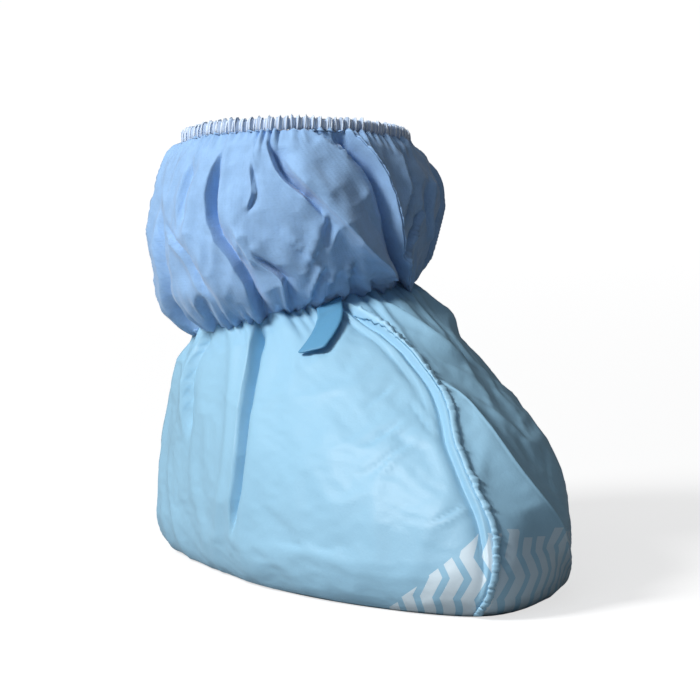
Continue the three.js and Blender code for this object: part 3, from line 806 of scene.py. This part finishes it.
class CuffSkin(Skin):
    folds, rough_columns, rough_rows = CUFF_FOLDS, 168, 40

    def shaped(self, angle, share):
        place, out, stretch = self.form.on(self.form.cuff_at, angle, share)
        lift = fold_relief(CUFF_FOLDS, angle, share, stretch)
        creases = crumple(place, size=0.016, height=0.0019, seed=4)
        creases += crumple(place, size=0.008, height=0.0005, seed=6)
        lift += creases * math.sin(math.pi * share) ** 0.5
        lift *= smooth(share, 0, 0.08) * (1 - smooth(share, 0.94, 1))
        lift += pleats(angle, share, count=58, height=0.0036, reach=0.14, seed=1)
        lift += pleats(angle, 1 - share, count=84, height=0.0023, reach=0.11, seed=2)
        if share in (0, 1):
            out = Vector((math.sin(angle), -math.cos(angle), 0))
        return place + out * lift

    def settle(self):
        """The cloth simulation: the cuff is cut wider and higher than the room between its elastics."""

        def cut(u, v):
            place = self.rough(u, v)
            return Vector((place.x * 1.05, place.y * 1.05, place.z * 1.05))

        def hold(u, line):
            if line in (0, self.rough_rows):
                return 1.0
            return 0.3 if line in (1, self.rough_rows - 1) else 0.035

        self.moves = settle(self.rough_columns, self.rough_rows, self.rough, cut, hold,
                            frames=24, weave=12, bending=0.03, pressure=0.03, weight=0.3)


SKINS = {}


def skins(context):
    """The two skins, settled once for all the pieces that lie on them."""
    if not SKINS:
        sizes = context.scene.overshoe_sizes
        SKINS.update(foot=FootSkin(sizes), cuff=CuffSkin(sizes))
        for skin in SKINS.values():
            skin.settle()
    return SKINS


class OVERSHOE_OT_foot(bpy.types.Operator):
    """Build the coated foot part with its folds, its gather and its flat printed sole"""

    bl_idname = "overshoe.foot"
    bl_label = "Foot part"

    columns, side_rows, sole_rows = 300, 126, 12

    def execute(self, context):
        sizes, colours = chosen(context)
        skin = skins(context)["foot"]
        sides = self.side_rows
        rows = sides + self.sole_rows
        shares = even_shares(skin.form.foot_at, sides, [math.radians(a) for a in (-60, 0, 70, 180)])
        middle = Vector((0.001, -0.058, 0))

        def place(u, v):
            line = round(v * rows)
            if line < sides:
                return skin.at(skin.angle(u, shares[line]), shares[line])
            edge = skin.form.foot_at(skin.angle(u, 1), 1)
            return edge.lerp(middle, (line - sides) / self.sole_rows)

        mesh = grid(self.columns, rows, place)
        self.lay_uv(mesh, skin, shares)
        upper = film_material(colours, "laminated_film", False)
        sole = film_material(colours, "printed_film_sole", True)
        foot = finish_mesh("film_foot", mesh, upper, sole)
        thicken(foot, sizes.film)
        keep(foot, "foot_cover")
        return {"FINISHED"}

    def lay_uv(self, mesh, skin, shares):
        """Lengths over the fabric, in decimetres: round from the toe's seam and up from the sole."""
        form, fine = skin.form, 720
        rows = self.side_rows + self.sole_rows
        around = [0.0]
        for k in range(fine):
            step = form.foot_at((k + 1) / fine * TURN, 0.8) - form.foot_at(k / fine * TURN, 0.8)
            around.append(around[-1] + step.length)
        uv = mesh.loops.layers.uv.active
        for face in mesh.faces:
            flat = abs(face.normal.z) > 0.98 and face.calc_center_median().z < 0.0005
            face.material_index = 1 if flat else 0
            for loop in face.loops:
                at = loop[uv].uv
                place = loop.vert.co
                if flat:
                    loop[uv].uv = ((place.y + form.s.toe_reach) * 10, place.x * 10)
                    continue
                share = shares[min(round(at.y * rows), self.side_rows)]
                turn = math.degrees(skin.angle(at.x, share))
                if at.x == 0.5 and face.calc_center_median().x > 0:
                    turn = 180
                place_round = turn % 360 / 360 * fine
                start = min(int(place_round), fine - 1)
                distance = lerp(around[start], around[start + 1], place_round - start)
                if turn < 0:
                    distance -= around[-1]
                loop[uv].uv = (distance * 10, place.z * 10)


class OVERSHOE_OT_seams(bpy.types.Operator):
    """Build the puckered seams of the foot part and the cuff along their courses"""

    bl_idname = "overshoe.seams"
    bl_label = "Seams"

    def execute(self, context):
        sizes, colours = chosen(context)
        # The welts are a little lighter than the film and the nonwoven they lie on: partly the doubled
        # fabric, partly a painted highlight on their raised ridges.
        film = plain_material("folded_film_seam", tinted(colours.film, 1.06), 0.5, 0.06, grain=6.25)
        cloth = nonwoven_material("sewn_nonwoven_seam", tinted(colours.nonwoven, 1.08))
        foot, cuff = skins(context)["foot"], skins(context)["cuff"]
        width, height = sizes.seam_width, sizes.seam_height
        front = self.welt("front_seam_welt", foot, FRONT_SEAM, width, height, 220, film, 1)
        heel = self.welt("heel_seam_welt", foot, HEEL_SEAM, width * 0.85, height * 0.8, 150, film, 2)
        side = self.welt("cuff_seam_welt", cuff, CUFF_SEAM, width * 0.4, height * 0.5, 110, cloth, 3)
        keep(front, "front_seam")
        keep(heel, "heel_seam")
        keep(side, "cuff_seam")
        return {"FINISHED"}

    def welt(self, name, skin, course, width, height, steps, material, seed):
        """A low ridge over the skin, puckered along its length."""
        at = skin.form.foot_at if isinstance(skin, FootSkin) else skin.form.cuff_at
        spots = []
        for k in range(steps + 1):
            share = lerp(course[0][0], course[-1][0], k / steps)
            angle = math.radians(course_at(course, share))
            _, out, stretch = skin.form.on(at, angle, share)
            waver = noise.noise(Vector((k * 0.16, seed, 0)))
            pucker = noise.noise(Vector((k * 0.55, seed, 5)))
            spots.append((angle + waver * 0.0012 / stretch, share, out, stretch, waver, pucker))

        def place(u, v):
            angle, share, out, stretch, waver, pucker = spots[round(u * steps)]
            turn = v * TURN
            end = smooth(min(u, 1 - u), 0, 0.05)
            wide = width / 2 * (1 + 0.5 * pucker + 0.4 * waver) * end
            across = math.cos(turn) * wide / stretch
            rise = (math.sin(turn) * 0.5 + 0.42) * height * (1 + 0.9 * pucker) * end
            return skin.at(angle + across, share) + out * rise

        mesh = grid(steps, 12, place)
        measure_uv(mesh, steps * 0.001, width * 2.5)
        return finish_mesh(name, mesh, material)


class OVERSHOE_OT_tab(bpy.types.Operator):
    """Build the tab that hangs from the ankle gather over the foot part"""

    bl_idname = "overshoe.tab"
    bl_label = "Tab"

    def execute(self, context):
        sizes, colours = chosen(context)
        skin = skins(context)["foot"]
        form = skin.form
        spots, length = [], 0.0
        for k in range(481):
            share = lerp(TAB_COURSE[0][0], TAB_COURSE[-1][0], k / 480)
            angle = math.radians(course_at(TAB_COURSE, share))
            here, out, stretch = form.on(form.foot_at, angle, share)
            length += (here - before).length if k else 0
            before = here
            if len(spots) < 25 and length >= sizes.tab_length * len(spots) / 24:
                half = sizes.tab_width * 0.6 / stretch
                angles = [angle + half * n / 3 for n in range(-3, 4)]
                rise = max((skin.at(a, share) - form.foot_at(a, share)).dot(out) for a in angles)
                spots.append((here, out, rise))
        last = len(spots) - 1

        def place(u, v):
            k = round(v * last)
            here, out, _ = spots[k]
            way = (spots[min(k + 1, last)][0] - spots[max(k - 1, 0)][0]).normalized()
            side = way.cross(out).normalized()
            across = (u - 0.5) * sizes.tab_width
            rounded = max(0, abs(u - 0.5) - 0.3) ** 2 * 0.02 * smooth(v, 0.8, 1)
            under = max(rise for _, _, rise in spots[max(k - 3, 0) : k + 4])
            lift = max(under + 0.0012, sizes.tab_stand_off) + 0.0006 * math.cos(math.pi * u)
            return here + way * (across * 0.5 - rounded) + side * across + out * lift

        tape = plain_material("dyed_tape", colours.tab, 0.6, 0.1, grain=2.0)
        tab = finish_mesh("hanging_tab", grid(10, last, place, False), tape)
        thicken(tab, 0.0006, 0)
        keep(tab, "side_tab")
        return {"FINISHED"}


class OVERSHOE_OT_cuff(bpy.types.Operator):
    """Build the gathered cuff, settled as cloth between its two elastics"""

    bl_idname = "overshoe.cuff"
    bl_label = "Cuff"

    columns, rows = 412, 118

    def execute(self, context):
        sizes, colours = chosen(context)
        skin = skins(context)["cuff"]
        shares = even_shares(skin.form.cuff_at, self.rows, [k * math.pi / 2 for k in range(4)])

        def place(u, v):
            share = shares[round(v * self.rows)]
            return skin.at(skin.angle(u, share), share)

        mesh = grid(self.columns, self.rows, place)
        measure_uv(mesh, sizes.cuff_cut * TURN, sizes.cuff_cut_height)
        cuff = finish_mesh("nonwoven_cuff", mesh, nonwoven_material("spunbond_nonwoven", colours.nonwoven))
        thicken(cuff, sizes.cloth)
        keep(cuff, "ankle_cuff")
        return {"FINISHED"}


class OVERSHOE_OT_hem(bpy.types.Operator):
    """Build the ruffled elastic hem with its overlock thread, and the elastic at the ankle"""

    bl_idname = "overshoe.hem"
    bl_label = "Elastics"

    ruffles = 92

    def around(self, form, angle, turn, clear=0.0):
        """A place on the hem's ruffles, or clear of them, at a turn round its section, and the way out."""
        s = form.s
        wave = math.sin(self.ruffles * angle + 5 * wander(angle, 8, 6)) * (1 + 0.7 * wander(angle, 11, 9))
        radius = s.hem_radius - 0.0004 + 0.0006 * wave + 0.0014 * wander(angle, 9, 5)
        centre = Vector((radius * math.sin(angle) + s.hem_shift, -radius * math.cos(angle), form.hem(angle)))
        centre.z += 0.0006 * wander(angle, 10, 9) + 0.0004 * wave
        out, up = Vector((math.sin(angle), -math.cos(angle), 0)), Vector((0, 0, 1))
        across, along_up = math.cos(turn), math.sin(turn)
        deep = math.copysign(abs(across) ** 0.7, across) * (s.hem_thickness / 2 * (1 + 0.2 * wave) + clear)
        tall = math.copysign(abs(along_up) ** 0.7, along_up) * (s.hem_height / 2 * (1 + 0.14 * wave) + clear)
        return centre + out * deep + up * tall, (out * across + up * along_up).normalized()

    def execute(self, context):
        sizes, colours = chosen(context)
        form = skins(context)["cuff"].form
        mesh = grid(self.ruffles * 7, 14, lambda u, v: self.around(form, u * TURN, v * TURN)[0])
        measure_uv(mesh, sizes.hem_radius * TURN * 1.5, sizes.hem_height * 3)
        hem = finish_mesh("ruffled_hem", mesh, nonwoven_material("gathered_hem_nonwoven", colours.hem))
        keep(hem, "elastic_hem")

        thread = plain_material("spun_overlock_thread", colours.thread, 0.75, 0.0, grain=1.11)
        turns, steps = 190, 10
        points = []
        for k in range(turns * steps):
            points.append(self.around(form, k / (turns * steps) * TURN, k / steps * TURN, 0.0002))
        loops = tube("overlock_thread", points, 0.00035, 5, thread)
        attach(loops, "root")

        elastic = plain_material("knitted_elastic", colours.elastic, 0.8, 0.0, grain=1.43)
        half_band = 0.0028
        band = []
        for k in range(144):
            angle = k / 144 * TURN
            out = Vector((math.sin(angle), -math.cos(angle), 0))
            band.append((out * (sizes.ankle_radius - half_band) + Vector((0, 0, form.gather(angle))), out))
        inner = tube("ankle_elastic_band", band, half_band, 12, elastic, 0.25)
        keep(inner, "ankle_elastic")
        return {"FINISHED"}


class OVERSHOE_OT_stage(bpy.types.Operator):
    """Build the pale floor, the soft lights and the camera"""

    bl_idname = "overshoe.stage"
    bl_label = "Stage"

    def execute(self, context):
        scene, colours = context.scene, context.scene.overshoe_colours
        mesh = bmesh.new()
        bmesh.ops.create_grid(mesh, x_segments=1, y_segments=1, size=9.0)
        floor = finish_mesh("studio_floor", mesh, floor_material(colours.floor))
        target = Vector((0.003, -0.045, 0.107))
        away = self.way(-28, 8)
        camera = bpy.data.objects.new("camera", bpy.data.cameras.new("camera"))
        camera.location = target + away * 3.5
        camera.rotation_euler = (-away).to_track_quat("-Z", "Y").to_euler()
        camera.data.lens = 372
        camera.data.clip_end = 50
        scene.collection.objects.link(camera)
        scene.camera = camera
        for lamp in LAMPS:
            self.light(scene, target, **lamp)
        self.world(scene)
        scene.view_settings.view_transform = "Standard"
        return {"FINISHED"}

    def way(self, azimuth, elevation):
        a, e = math.radians(azimuth), math.radians(elevation)
        return Vector((math.sin(a) * math.cos(e), -math.cos(a) * math.cos(e), math.sin(e)))

    def light(self, scene, target, name, azimuth, elevation, distance, size, watts, tone):
        lamp = bpy.data.lights.new(name, "AREA")
        lamp.energy = watts
        lamp.color = linear(tone)[:3]
        lamp.size = size
        obj = bpy.data.objects.new(name, lamp)
        obj.location = target + self.way(azimuth, elevation) * distance
        obj.rotation_euler = (-self.way(azimuth, elevation)).to_track_quat("-Z", "Y").to_euler()
        scene.collection.objects.link(obj)

    def world(self, scene):
        """White all round, which lights the part more weakly than it shows behind it."""
        world = bpy.data.worlds.new("white_studio")
        world.use_nodes = True
        tree = world.node_tree
        tree.nodes.clear()
        seen = add_node(tree, "LightPath", output="Is Camera Ray")
        strength = add_node(tree, "Math", [seen, 0.91, 0.09], operation="MULTIPLY_ADD")
        back = add_node(tree, "Background", {"Color": linear("FFFFFF"), "Strength": strength})
        add_node(tree, "OutputWorld", {"Surface": back})
        scene.world = world


class OVERSHOE_PT_panel(bpy.types.Panel):
    bl_label = "Overshoe"
    bl_idname = "OVERSHOE_PT_panel"
    bl_space_type = "VIEW_3D"
    bl_region_type = "UI"
    bl_category = "Overshoe"

    def draw(self, context):
        for group in (context.scene.overshoe_sizes, context.scene.overshoe_colours):
            for name in group.__annotations__:
                self.layout.prop(group, name)
        for operator in OPERATORS:
            self.layout.operator(operator.bl_idname)


OPERATORS = (
    OVERSHOE_OT_foot, OVERSHOE_OT_seams, OVERSHOE_OT_tab, OVERSHOE_OT_cuff, OVERSHOE_OT_hem,
    OVERSHOE_OT_stage,
)
CLASSES = (OvershoeSizes, OvershoeColours, *OPERATORS, OVERSHOE_PT_panel)


def register():
    for cls in CLASSES:
        bpy.utils.register_class(cls)
    bpy.types.Scene.overshoe_sizes = bpy.props.PointerProperty(type=OvershoeSizes)
    bpy.types.Scene.overshoe_colours = bpy.props.PointerProperty(type=OvershoeColours)


def unregister():
    del bpy.types.Scene.overshoe_colours
    del bpy.types.Scene.overshoe_sizes
    for cls in reversed(CLASSES):
        bpy.utils.unregister_class(cls)


def main():
    register()
    bpy.ops.overshoe.foot()
    bpy.ops.overshoe.seams()
    bpy.ops.overshoe.tab()
    bpy.ops.overshoe.cuff()
    bpy.ops.overshoe.hem()
    bpy.ops.overshoe.stage()


if __name__ == "__main__":
    main()
